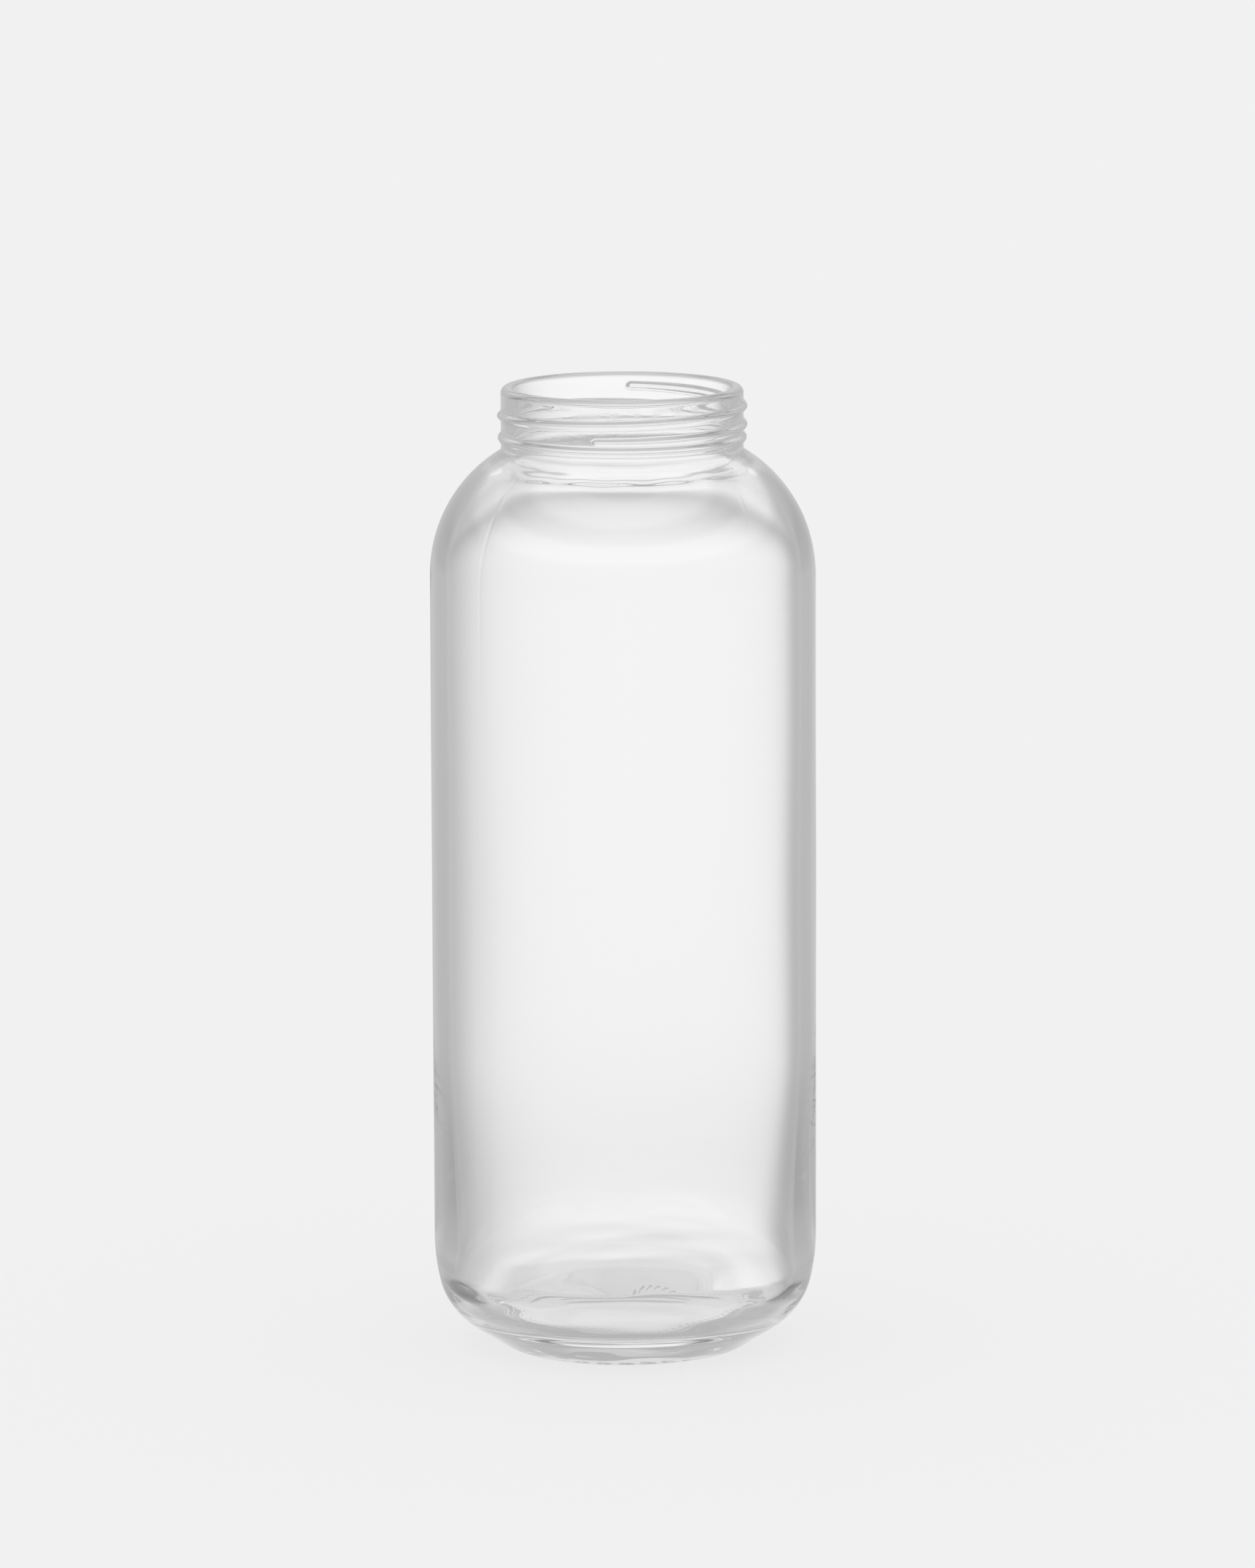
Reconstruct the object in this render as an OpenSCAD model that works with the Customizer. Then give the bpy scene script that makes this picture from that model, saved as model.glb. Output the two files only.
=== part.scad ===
// Clear glass milk bottle for about one litre, with an open screw-thread neck.
// The whole bottle is one moulding of glass, so it is one node.
// Millimetres, +Z up, origin on the bottle's axis in the plane that it stands on.

/* [Body] */
// Outer diameter of the straight body
body_d = 88; // [70:0.5:110]
// Height from the standing plane to the top of the lip
bottle_h = 221.5; // [190:0.5:280]
// Thickness of the body's wall
wall_t = 3.3; // [2:0.1:5]

/* [Shoulder] */
// Radius of the round shoulder, seen from the side
shoulder_r = 33; // [26:0.5:38]
// Radius of the fillet between the shoulder and the neck, outside
neck_root_r = 1.2; // [0.6:0.1:2.5]
// Radius of the fillet between the shoulder and the bore, inside
throat_r = 5; // [2:0.5:8]

/* [Neck] */
// Outer diameter of the neck, between the threads
neck_d = 55.2; // [50:0.2:58]
// Diameter of the mouth's bore
bore_d = 49.4; // [44:0.2:50]
// Height of the neck, from the shoulder's fillet to the top of the lip
neck_h = 14; // [13.4:0.2:20]
// Rounding of the lip's outer edge
lip_out_r = 1.5; // [0.6:0.1:1.6]
// Rounding of the lip's inner edge
lip_in_r = 1.1; // [0.5:0.1:1.2]

/* [Thread] */
// Rise of the thread in one turn, six turns to the inch
thread_pitch = 4.23; // [3:0.01:5]
// Turns of thread, from its start near the lip to its end above the bead
thread_turns = 1.53; // [1:0.01:1.6]
// How far the thread stands out of the neck
thread_h = 0.85; // [0.5:0.05:1.3]
// Width of the thread where it leaves the neck
thread_w = 2.3; // [1.6:0.1:2.8]
// Depth of the thread's start below the top of the lip
thread_drop = 3.5; // [3:0.1:4.5]
// Direction of the thread's start, in degrees anticlockwise from +X
thread_start_deg = 88; // [0:1:359]

/* [Bead] */
// How far the bead under the thread stands out of the neck
bead_h = 0.7; // [0.4:0.05:1.3]
// Width of the bead where it leaves the neck
bead_w = 2.3; // [1.6:0.1:2.6]
// Depth of the middle of the bead below the top of the lip
bead_drop = 11.7; // [11.4:0.1:12.2]

/* [Heel] */
// Radius of the heel's upper stretch, where it leaves the body
heel_top_r = 44; // [30:1:60]
// Angle that the upper stretch turns through
heel_top_deg = 14; // [6:1:20]
// Radius of the heel's round, under the upper stretch
heel_mid_r = 15.5; // [12:0.5:18]
// Slope of the straight cone under the round, from the level
heel_slope_deg = 33; // [24:1:38]
// Radius of the edge between the cone and the standing ring
heel_edge_r = 1; // [0.6:0.1:2]

/* [Base] */
// Diameter of the standing ring's outer edge
ring_d = 56; // [48:0.5:60]
// Width of the flat standing ring
ring_w = 4; // [2:0.1:5]
// Notches round the cone just outside the standing ring
notch_count = 90; // [24:6:96]
// Width of a notch
notch_w = 0.9; // [0.4:0.1:1]
// Depth of a notch
notch_h = 0.35; // [0.2:0.05:0.5]
// Length of a notch, across the standing ring
notch_l = 1.9; // [1:0.1:3]
// How far the underside rises in the middle
pushup_h = 3.6; // [2:0.1:5]
// Diameter of the round panel in the middle of the underside
panel_d = 32; // [20:1:40]
// How far the panel is sunk into the underside
panel_t = 0.5; // [0.2:0.1:1]

/* [Inside] */
// Height of the inside floor at its edge
floor_h = 9.5; // [7:0.5:14]
// How much higher the inside floor is in the middle
floor_rise = 0.8; // [0:0.1:3]
// Diameter of the inside floor
floor_d = 62; // [50:1:66]
// Radius of the corner where the floor turns up
floor_corner_r = 3; // [1:0.5:6]
// Slope at which the corner gives way to the round of the bowl
bowl_slope_deg = 40; // [25:1:60]
// How much thicker the wall is over the bowl than it is higher up
foot_gain = 1.7; // [0.5:0.1:3]
// Height at which the wall has thinned to its own thickness
taper_h = 70; // [50:5:100]

/* [Hidden] */

glass = [0.93, 0.95, 0.95, 0.4];
// Degrees between two points of an arc in the profile
arc_step = 3;
// Steps across the round section of the thread and the bead
section_steps = 6;
// Longest segment of the thread, and how far each reaches into the next
segment_max = 48;
segment_lap = 0.1;
// How far the solids of the thread and the bead reach into the neck's wall
root_in = 0.6;
// Depth in the wall at which their round section starts, so that it crosses
// the neck's surface at an angle
arch_in = 0.2;

body_r = body_d / 2;
neck_r = neck_d / 2;
bore_r = bore_d / 2;
ring_r = ring_d / 2;
neck_z = bottle_h - neck_h;

// Points on an arc about (x, z), from angle a to angle b in degrees
function arc(x, z, r, a, b) =
    let (n = max(2, ceil(abs(b - a) / arc_step)))
    [for (i = [0:n]) let (t = a + (b - a) * i / n) [x + r * cos(t), z + r * sin(t)]];

// Height of the second side of a right triangle
function leg(hyp, side) = sqrt(hyp * hyp - side * side);

// The shoulder's centre lies shoulder_r inside the body, and so low that the
// fillet on top of it ends at the foot of the neck
shoulder_x = body_r - shoulder_r;
shoulder_z = neck_z - leg(shoulder_r + neck_root_r, neck_r + neck_root_r - shoulder_x);
root_deg = asin((neck_z - shoulder_z) / (shoulder_r + neck_root_r));

// The heel goes from the body through two arcs, each tangent to the next, then
// down a straight cone and round a small edge to the standing ring
heel_mid_x = body_r - heel_top_r + (heel_top_r - heel_mid_r) * cos(heel_top_deg);
cone_run = heel_mid_x + heel_mid_r * sin(heel_slope_deg)
    - ring_r - heel_edge_r * sin(heel_slope_deg);
cone_foot_x = ring_r + heel_edge_r * sin(heel_slope_deg);
cone_foot_z = heel_edge_r * (1 - cos(heel_slope_deg));
heel_mid_z = cone_foot_z + cone_run * tan(heel_slope_deg) + heel_mid_r * cos(heel_slope_deg);
heel_top_z = heel_mid_z + (heel_top_r - heel_mid_r) * sin(heel_top_deg);
cone_deg = 90 - heel_slope_deg;

// The inside follows the outside at the wall's thickness, and its throat is
// filleted into the bore
inner_r = body_r - wall_t;
inner_shoulder_r = shoulder_r - wall_t;
throat_x = bore_r + throat_r;
throat_z = shoulder_z + leg(inner_shoulder_r + throat_r, throat_x - shoulder_x);
throat_deg = asin((throat_z - shoulder_z) / (inner_shoulder_r + throat_r));

// Inside, the wall thickens downward to a bowl, whose round ends at the corner
// of the floor
floor_r = floor_d / 2;
foot_r = inner_r - foot_gain;
bowl_foot_x = floor_r + floor_corner_r * sin(bowl_slope_deg);
bowl_r = (foot_r - bowl_foot_x) / (1 - sin(bowl_slope_deg));
bowl_z = floor_h + floor_corner_r + (bowl_r - floor_corner_r) * cos(bowl_slope_deg);
bowl_deg = 90 - bowl_slope_deg;

// A shallow dome over a circle of radius r that rises by h: its sphere's radius
function dome_r(r, h) = (r * r + h * h) / (2 * h);
pushup_r = ring_r - ring_w;
pushup_dome = dome_r(pushup_r, pushup_h);
panel_r = panel_d / 2;
function pushup_z(x) = pushup_h - pushup_dome + leg(pushup_dome, x);

// Half of the bottle's outline, from the middle of the underside round the
// outside to the lip
outside = concat(
    [[0, pushup_h + panel_t]],
    [for (i = [1:8]) let (x = panel_r * i / 8) [x, pushup_z(x) + panel_t]],
    [for (i = [0:6]) let (x = panel_r + panel_t + (pushup_r - panel_r - panel_t) * i / 6)
        [x, pushup_z(x)]],
    arc(ring_r, heel_edge_r, heel_edge_r, -90, -cone_deg),
    arc(heel_mid_x, heel_mid_z, heel_mid_r, -cone_deg, -heel_top_deg),
    arc(body_r - heel_top_r, heel_top_z, heel_top_r, -heel_top_deg, 0),
    arc(shoulder_x, shoulder_z, shoulder_r, 0, root_deg),
    arc(neck_r + neck_root_r, neck_z, neck_root_r, 180 + root_deg, 180),
    arc(neck_r - lip_out_r, bottle_h - lip_out_r, lip_out_r, 0, 90)
);

// The other half, from the lip down the bore and the inside to its floor
inside = concat(
    arc(bore_r + lip_in_r, bottle_h - lip_in_r, lip_in_r, 90, 180),
    arc(throat_x, throat_z, throat_r, 180, 180 + throat_deg),
    arc(shoulder_x, shoulder_z, inner_shoulder_r, throat_deg, 0),
    [[inner_r, taper_h]],
    arc(foot_r - bowl_r, bowl_z, bowl_r, 0, -bowl_deg),
    arc(floor_r, floor_h + floor_corner_r, floor_corner_r, -bowl_deg, -90),
    [for (i = [5:-1:0]) let (x = floor_r * i / 6)
        [x, floor_h + floor_rise * (1 - x * x / (floor_r * floor_r))]]
);

module blank() {
    rotate_extrude($fn = 180) polygon(concat(outside, inside));
}

// The section of a moulding on the neck: an arch that stands out by h and is w
// wide at the neck's surface, closed inside the wall. Points are [out, up].
function arch(h, w) =
    let (
        n = section_steps,
        half = w / 2 / sin(acos(arch_in / (h + arch_in)))
    )
    concat(
        [[-root_in, -half]],
        [for (i = [0:n]) let (v = -90 + 180 * i / n) [(h + arch_in) * cos(v) - arch_in, half * sin(v)]],
        [[-root_in, half]]
    );

module bead() {
    translate([0, 0, bottle_h - bead_drop])
        rotate_extrude($fn = 180)
            polygon([for (p = arch(bead_h, bead_w)) [neck_r + p[0], p[1]]]);
}

// The thread is a chain of turned segments. Each is tilted about its own middle
// by the thread's slope, which follows the helix to a hundredth of a millimetre.
thread_sweep = 360 * thread_turns;
segment_count = ceil(thread_sweep / segment_max);
segment_deg = thread_sweep / segment_count;
slope_deg = atan(thread_pitch / (PI * neck_d));

// Moves what is drawn at angle 0 to the thread's place at turn angle t
module on_thread(t) {
    translate([0, 0, bottle_h - thread_drop - thread_pitch * t / 360])
        rotate([0, 0, thread_start_deg - t])
            rotate([slope_deg, 0, 0]) children();
}

module thread_segment() {
    rotate([0, 0, -segment_deg / 2 - segment_lap])
        rotate_extrude(angle = segment_deg + 2 * segment_lap, $fn = 180)
            polygon([for (p = arch(thread_h, thread_w)) [neck_r + p[0], p[1]]]);
}

// The round tip is half of the thread's section, turned about the line that
// points out of the neck
module thread_tip() {
    points = arch(thread_h, thread_w);
    half = [for (p = points) if (p[1] >= 0) [p[1], p[0]]];
    translate([neck_r, 0, 0]) rotate([0, 90, 0])
        rotate_extrude($fn = 60) polygon(concat(half, [[0, -root_in]]));
}

module thread() {
    for (i = [0:segment_count - 1])
        on_thread(segment_deg * (i + 0.5)) thread_segment();
    for (t = [0, thread_sweep])
        on_thread(t) thread_tip();
}

// Round-bottomed notches, each a cylinder that lies across the standing ring
module notches() {
    notch_r = (notch_w * notch_w / 4 + notch_h * notch_h) / (2 * notch_h);
    for (i = [0:notch_count - 1])
        rotate([0, 0, (i + 0.5) * 360 / notch_count])
            translate([ring_r - notch_l - 0.05, 0, notch_h - notch_r])
                rotate([0, 90, 0])
                    cylinder(r = notch_r, h = notch_l, $fn = 24);
}

module bottle() {
    color(glass) difference() {
        union() {
            blank();
            bead();
            thread();
        }
        notches();
    }
}

bottle();
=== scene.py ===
# %% [markdown]
# # A clear glass bottle
#
# The bottle is one moulding of glass. All that shows of it is its outer skin, its
# inner skin, and the studio seen through both. So this lesson makes one closed
# mesh with both skins, gives it one material, and then spends its care on what
# the glass bends into view: a pale floor and a soft, uneven surround.

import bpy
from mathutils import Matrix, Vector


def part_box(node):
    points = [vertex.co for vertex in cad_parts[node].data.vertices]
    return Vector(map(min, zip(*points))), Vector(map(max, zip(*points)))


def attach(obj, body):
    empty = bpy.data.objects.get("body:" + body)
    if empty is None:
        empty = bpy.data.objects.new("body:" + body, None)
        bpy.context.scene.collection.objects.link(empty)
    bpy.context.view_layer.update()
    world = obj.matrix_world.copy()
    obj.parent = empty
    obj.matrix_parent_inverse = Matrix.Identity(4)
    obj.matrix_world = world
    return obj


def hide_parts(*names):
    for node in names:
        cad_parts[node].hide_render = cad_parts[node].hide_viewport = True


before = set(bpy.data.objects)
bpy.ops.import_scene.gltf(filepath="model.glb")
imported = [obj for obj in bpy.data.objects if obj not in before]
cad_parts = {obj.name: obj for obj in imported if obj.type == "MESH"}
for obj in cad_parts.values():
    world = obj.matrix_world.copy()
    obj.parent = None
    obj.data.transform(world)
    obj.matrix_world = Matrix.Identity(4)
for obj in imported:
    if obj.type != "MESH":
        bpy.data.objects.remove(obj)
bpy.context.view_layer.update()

import math

import bpy
import numpy as np
from mathutils import Matrix, Vector

MM = 0.001
low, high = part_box("bottle")
HEIGHT = (high[2] - low[2]) / MM
BODY_R = max(high[0], high[1], -low[0], -low[1]) / MM
print(f"frame: bottle {2 * BODY_R:.2f} mm across, {HEIGHT:.2f} mm tall")

# %% [markdown]
# ## The outline
#
# A bottle like this is blown into a mould that was turned on a lathe, so its
# outline is straight lines and arcs that run into each other. It could be drawn
# as a curve and spun, or pulled by hand from a cylinder. Here it is worked out
# in millimetres from nearly the sizes of the construction model, with the radius
# of the body and the height read from the frame, so the outer skin lies where
# the solid's does. Inside, the floor is half a millimetre lower and its radius
# 1.5 mm larger than in that model.
#
# Each stretch is a short array of points `[radius, height]`. Together they go
# from the middle of the underside round the outside to the lip, and down the
# inside to the middle of the floor.

# %% Arcs, lines and right triangles
def arc(x, z, r, a, b, n):
    """n points on a circle: x + r cos t, z + r sin t, for t from a to b degrees."""
    t = np.radians(np.linspace(a, b, n))
    return np.stack([x + r * np.cos(t), z + r * np.sin(t)], axis=1)


def leg(hyp, side):
    """Second side of a right triangle: the root of hyp squared less side squared."""
    return math.sqrt(hyp * hyp - side * side)


def line(p, q, n):
    """n points on a straight line from p to q."""
    return np.linspace(p, q, n)


def sin_deg(a):
    """Sine of an angle in degrees."""
    return math.sin(math.radians(a))


def cos_deg(a):
    """Cosine of an angle in degrees."""
    return math.cos(math.radians(a))


print(f"helpers: the third side of a right triangle of 5 and 4 is {leg(5, 4):.0f}")

# %% The shoulder and the neck, from outside
SHOULDER_R, NECK_ROOT_R = 33.0, 1.2
NECK_R, NECK_H, LIP_OUT_R = 27.6, 14.0, 1.5
neck_z = HEIGHT - NECK_H
shoulder_x = BODY_R - SHOULDER_R
shoulder_z = neck_z - leg(SHOULDER_R + NECK_ROOT_R, NECK_R + NECK_ROOT_R - shoulder_x)
root_deg = math.degrees(math.asin((neck_z - shoulder_z) / (SHOULDER_R + NECK_ROOT_R)))
print(f"shoulder: centre {shoulder_z:.1f} mm up, {root_deg:.1f} degrees round to the neck")

# %% The heel, from outside
HEEL_TOP_R, HEEL_TOP_DEG = 44.0, 14.0
HEEL_MID_R, HEEL_SLOPE_DEG, HEEL_EDGE_R = 15.5, 33.0, 1.0
RING_R, RING_W = 28.0, 4.0
heel_mid_x = BODY_R - HEEL_TOP_R + (HEEL_TOP_R - HEEL_MID_R) * cos_deg(HEEL_TOP_DEG)
cone_foot_x = RING_R + HEEL_EDGE_R * sin_deg(HEEL_SLOPE_DEG)
cone_foot_z = HEEL_EDGE_R * (1 - cos_deg(HEEL_SLOPE_DEG))
cone_run = heel_mid_x + HEEL_MID_R * sin_deg(HEEL_SLOPE_DEG) - cone_foot_x
cone_foot = (cone_foot_x, cone_foot_z)
cone_rise = cone_run * math.tan(math.radians(HEEL_SLOPE_DEG))
cone_head = (cone_foot_x + cone_run, cone_foot_z + cone_rise)
cone_deg = 90.0 - HEEL_SLOPE_DEG
heel_mid_z = cone_head[1] + HEEL_MID_R * cos_deg(HEEL_SLOPE_DEG)
heel_top_z = heel_mid_z + (HEEL_TOP_R - HEEL_MID_R) * sin_deg(HEEL_TOP_DEG)
print(f"heel: the slope rises {cone_rise:.1f} mm, and the body starts {heel_top_z:.1f} mm up")

# %% The shoulder and the bore, from inside
WALL, BORE_R, THROAT_R, LIP_IN_R = 3.3, 24.7, 5.0, 1.1
inner_r = BODY_R - WALL
inner_shoulder_r = SHOULDER_R - WALL
throat_x = BORE_R + THROAT_R
throat_z = shoulder_z + leg(inner_shoulder_r + THROAT_R, throat_x - shoulder_x)
throat_deg = math.degrees(math.asin((throat_z - shoulder_z) / (inner_shoulder_r + THROAT_R)))
print(f"inside: {inner_r:.1f} mm in radius, and the bore ends {throat_z:.1f} mm up")

# %% The bowl of the foot, from inside
FOOT_GAIN, FLOOR_H, FLOOR_R, FLOOR_CORNER_R, BOWL_SLOPE_DEG = 1.7, 9.0, 32.5, 3.0, 40.0
foot_r = inner_r - FOOT_GAIN
bowl_foot_x = FLOOR_R + FLOOR_CORNER_R * sin_deg(BOWL_SLOPE_DEG)
bowl_r = (foot_r - bowl_foot_x) / (1 - sin_deg(BOWL_SLOPE_DEG))
bowl_x = foot_r - bowl_r
bowl_z = FLOOR_H + FLOOR_CORNER_R + (bowl_r - FLOOR_CORNER_R) * cos_deg(BOWL_SLOPE_DEG)
bowl_deg = 90.0 - BOWL_SLOPE_DEG
corner_z = FLOOR_H + FLOOR_CORNER_R
print(f"bowl: radius {bowl_r:.1f} mm, and it starts {bowl_z:.1f} mm up")

# %% The underside
PUSHUP_H, PANEL_R, PANEL_T, PANEL_EDGE = 3.6, 16.0, 0.5, 0.5
TOWARD_RING = 0.8
pushup_r = RING_R - RING_W
pushup_dome = (pushup_r ** 2 + PUSHUP_H ** 2) / (2 * PUSHUP_H)


def underside(n):
    """A shallow dome with a sunk round panel, its rows a little closer toward the ring.

    The height is a sphere's, less its lowest point, plus the panel's depth times
    half of 1 - tanh of the distance outside the panel's edge.
    """
    x = np.linspace(0.0, 1.0, n) ** TOWARD_RING * pushup_r
    dome = PUSHUP_H - pushup_dome + np.sqrt(pushup_dome ** 2 - x ** 2)
    step = 0.5 - 0.5 * np.tanh((x - PANEL_R) / PANEL_EDGE)
    return np.stack([x, dome + PANEL_T * step], axis=1)


print(f"underside: {PUSHUP_H} mm hollow, part of a sphere of {pushup_dome:.0f} mm")

# %% The thickening wall and the floor
TAPER_H, FLOOR_RISE = 70.0, 0.8


def taper(n):
    """The wall's inner face as it thickens on its way down.

    It moves in by 3 d^2 - 2 d^3 of the gain, for d from 0 to 1 on the way down, so
    both ends are smooth.
    """
    down = np.linspace(0.0, 1.0, n)
    gain = FOOT_GAIN * (3 * down ** 2 - 2 * down ** 3)
    return np.stack([inner_r - gain, TAPER_H + (bowl_z - TAPER_H) * down], axis=1)


def inside_floor(n):
    """A floor a little higher in the middle: a parabola from the edge to the axis."""
    x = np.linspace(FLOOR_R, 0.0, n)
    return np.stack([x, FLOOR_H + FLOOR_RISE * (1 - (x / FLOOR_R) ** 2)], axis=1)


print(f"wall: {WALL:.1f} mm, and {WALL + FOOT_GAIN:.1f} mm at the foot")

# %% The stretches, each with the number of rows that its detail needs
crown_deg = throat_deg - 20.0
STRETCHES = {
    "underside": underside(18),
    "ring": line([pushup_r, 0.0], [RING_R, 0.0], 17),
    "heel_edge": arc(RING_R, HEEL_EDGE_R, HEEL_EDGE_R, -90, -cone_deg, 6),
    "cone": line(cone_foot, cone_head, 22),
    "heel_mid": arc(heel_mid_x, heel_mid_z, HEEL_MID_R, -cone_deg, -HEEL_TOP_DEG, 13),
    "heel_top": arc(BODY_R - HEEL_TOP_R, heel_top_z, HEEL_TOP_R, -HEEL_TOP_DEG, 0, 6),
    "body": line([BODY_R, heel_top_z], [BODY_R, shoulder_z], 18),
    "shoulder": arc(shoulder_x, shoulder_z, SHOULDER_R, 0, root_deg, 22),
    "root": arc(NECK_R + NECK_ROOT_R, neck_z, NECK_ROOT_R, 180 + root_deg, 180, 7),
    "neck": line([NECK_R, neck_z], [NECK_R, HEIGHT - LIP_OUT_R], 64),
    "lip_out": arc(NECK_R - LIP_OUT_R, HEIGHT - LIP_OUT_R, LIP_OUT_R, 0, 90, 9),
    "lip_in": arc(BORE_R + LIP_IN_R, HEIGHT - LIP_IN_R, LIP_IN_R, 90, 180, 8),
    "bore": line([BORE_R, HEIGHT - LIP_IN_R], [BORE_R, throat_z], 9),
    "throat": arc(throat_x, throat_z, THROAT_R, 180, 180 + throat_deg, 16),
    "inner_crown": arc(shoulder_x, shoulder_z, inner_shoulder_r, throat_deg, crown_deg, 36),
    "inner_shoulder": arc(shoulder_x, shoulder_z, inner_shoulder_r, crown_deg, 0, 40),
    "inner_wall": line([inner_r, shoulder_z], [inner_r, TAPER_H], 10),
    "taper": taper(10),
    "bowl": arc(bowl_x, bowl_z, bowl_r, 0, -bowl_deg, 20),
    "corner": arc(FLOOR_R, corner_z, FLOOR_CORNER_R, -bowl_deg, -90, 10),
    "inside_floor": inside_floor(12),
}
print(f"stretches: {len(STRETCHES)}, of {sum(len(p) for p in STRETCHES.values())} points")

# %% Join the stretches into one outline
SAME_POINT = 1e-6


def join(stretches):
    """Stacks the stretches.

    The first point of a stretch is left out where it repeats the last of the one before.
    """
    parts, names = [], []
    for name, points in stretches.items():
        repeats = parts and abs(points[0] - parts[-1][-1]).max() < SAME_POINT
        kept = points[1:] if repeats else points
        parts.append(kept)
        names += [name] * len(kept)
    return np.concatenate(parts), np.array(names)


outline, stretch_of = join(STRETCHES)
print(f"outline: {len(outline)} rows")

# %% Which way is outward along the outline
NOT_ZERO = 1e-9
before = np.vstack([outline[:1], outline[:-1]])
after = np.vstack([outline[1:], outline[-1:]])
step_in = np.linalg.norm(outline - before, axis=1, keepdims=True) + NOT_ZERO
step_out = np.linalg.norm(after - outline, axis=1, keepdims=True) + NOT_ZERO
# The chords weigh more where they are shorter, as on an arc beside a long line
tangent = (outline - before) / step_in ** 2 + (after - outline) / step_out ** 2
tangent[[0, -1]] = [[1.0, 0.0], [-1.0, 0.0]]
tangent /= np.linalg.norm(tangent, axis=1, keepdims=True)
# Walking the outline from the underside, the glass is on the left, so the
# outward side is the tangent turned a quarter turn to the right
outward = np.stack([tangent[:, 1], -tangent[:, 0]], axis=1)
print(f"outward: up on {int((outward[:, 1] > 0.5).sum())} rows of the {len(outward)}")

# %% [markdown]
# ## The directions round the bottle
#
# Most of the bottle is plainly round, and a point every five thirds of a degree
# is enough for it. The tips of the thread, the mould's parting seams and the row
# of notches under the standing ring are finer than that. The whole skin could be
# made fine enough for them, at many times the triangles. Instead, the stretches
# that carry them have directions of their own.

# %% Directions for each kind of stretch
SEAM_ANGLES = (223.0, 43.0)
THREAD_TURNS, THREAD_START = 1.518, 85.0
NOTCH_COUNT, POINTS_PER_NOTCH = 90, 7
CLOSEST_DEG = 0.02
thread_sweep = 360.0 * THREAD_TURNS
TIP_ANGLES = (THREAD_START, THREAD_START - thread_sweep)


def directions(count, fine_at=(), reach=0.0, extra=0):
    """Angles in degrees: an even spread, and extra ones within reach of each fine angle."""
    even = np.arange(count) * 360.0 / count
    fine = [np.linspace(a - reach, a + reach, extra) % 360.0 for a in fine_at]
    every = np.unique(np.round(np.concatenate([even] + fine), 3))
    gap = np.diff(np.append(every, every[0] + 360.0))
    return every[gap > CLOSEST_DEG]


PLAIN = directions(216)
SEAMED = directions(216, SEAM_ANGLES, 2.2, 13)
THREADED = directions(240, TIP_ANGLES, 5.4, 34)
NOTCHED = directions(NOTCH_COUNT * POINTS_PER_NOTCH)
COLUMNS = {name: PLAIN for name in STRETCHES}
COLUMNS |= {name: SEAMED for name in ("heel_mid", "heel_top", "body", "shoulder")}
COLUMNS |= {name: THREADED for name in ("root", "neck", "lip_out")}
COLUMNS["ring"] = NOTCHED
print(f"directions: {len(PLAIN)} plain, {len(SEAMED)} seamed")
print(f"directions: {len(THREADED)} threaded, {len(NOTCHED)} notched")

# %% [markdown]
# ## The thread and the bead of the neck
#
# The cap screws on to a round-topped thread that runs one and a half times round
# the neck, and a bead under it closes the gap below the cap. A thread could be a
# curve with a bevel, joined on with a boolean, which leaves a hard crease round
# its foot. In glass the foot is soft. So each form here is a height over the
# outline, as a function of the direction and of the height up the bottle. It is
# worked out for a whole stretch at once and added along the outward side.

# %% Ridges and soft steps
TOE = 0.15


def ridge(d, height, width):
    """A round ridge with soft toes, over the distance d from its middle.

    It is (a + the root of a^2 + toe^2) / 2, where a is the height of the parabola,
    the height times 1 - (2 d / width)^2.
    """
    a = height * (1.0 - (2.0 * d / width) ** 2)
    return 0.5 * (a + np.sqrt(a * a + TOE * TOE))


def fade(value, start, end):
    """A smooth step from 0 at start to 1 at end: 3 s^2 - 2 s^3."""
    s = np.clip((value - start) / (end - start), 0.0, 1.0)
    return s * s * (3.0 - 2.0 * s)


print(f"ridge: a toe of {TOE} mm leaves {ridge(0.5, 1.0, 1.0):.3f} mm at the ridge's edge")

# %% The thread and its bead
THREAD_PITCH, THREAD_DROP, THREAD_H, THREAD_W = 4.23, 3.55, 0.85, 2.0
TIP_LENGTH, TIP_DEG, TIP_SIZE, TIP_GROWTH = 1.8, 36.0, 0.82, 0.18
LATE_DEG, LATE_RISE = 125.0, 0.45
BEAD_H, BEAD_W, BEAD_DROP = 0.7, 2.2, 11.7
LEAN = 0.32


def lean(theta):
    """Behind, the mouldings run a little high, by the sine of the direction."""
    return LEAN * np.maximum(np.sin(np.radians(theta)), 0.0)


def thread_drop(turned):
    """How far the thread is under the lip after so many degrees.

    It falls evenly by the pitch in each turn, less a square of the share of its last
    third of a turn, where it is a little flatter.
    """
    late = np.clip((turned - thread_sweep + LATE_DEG) / LATE_DEG, 0.0, 1.0)
    return THREAD_DROP + THREAD_PITCH * turned / 360.0 - LATE_RISE * late ** 2


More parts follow.
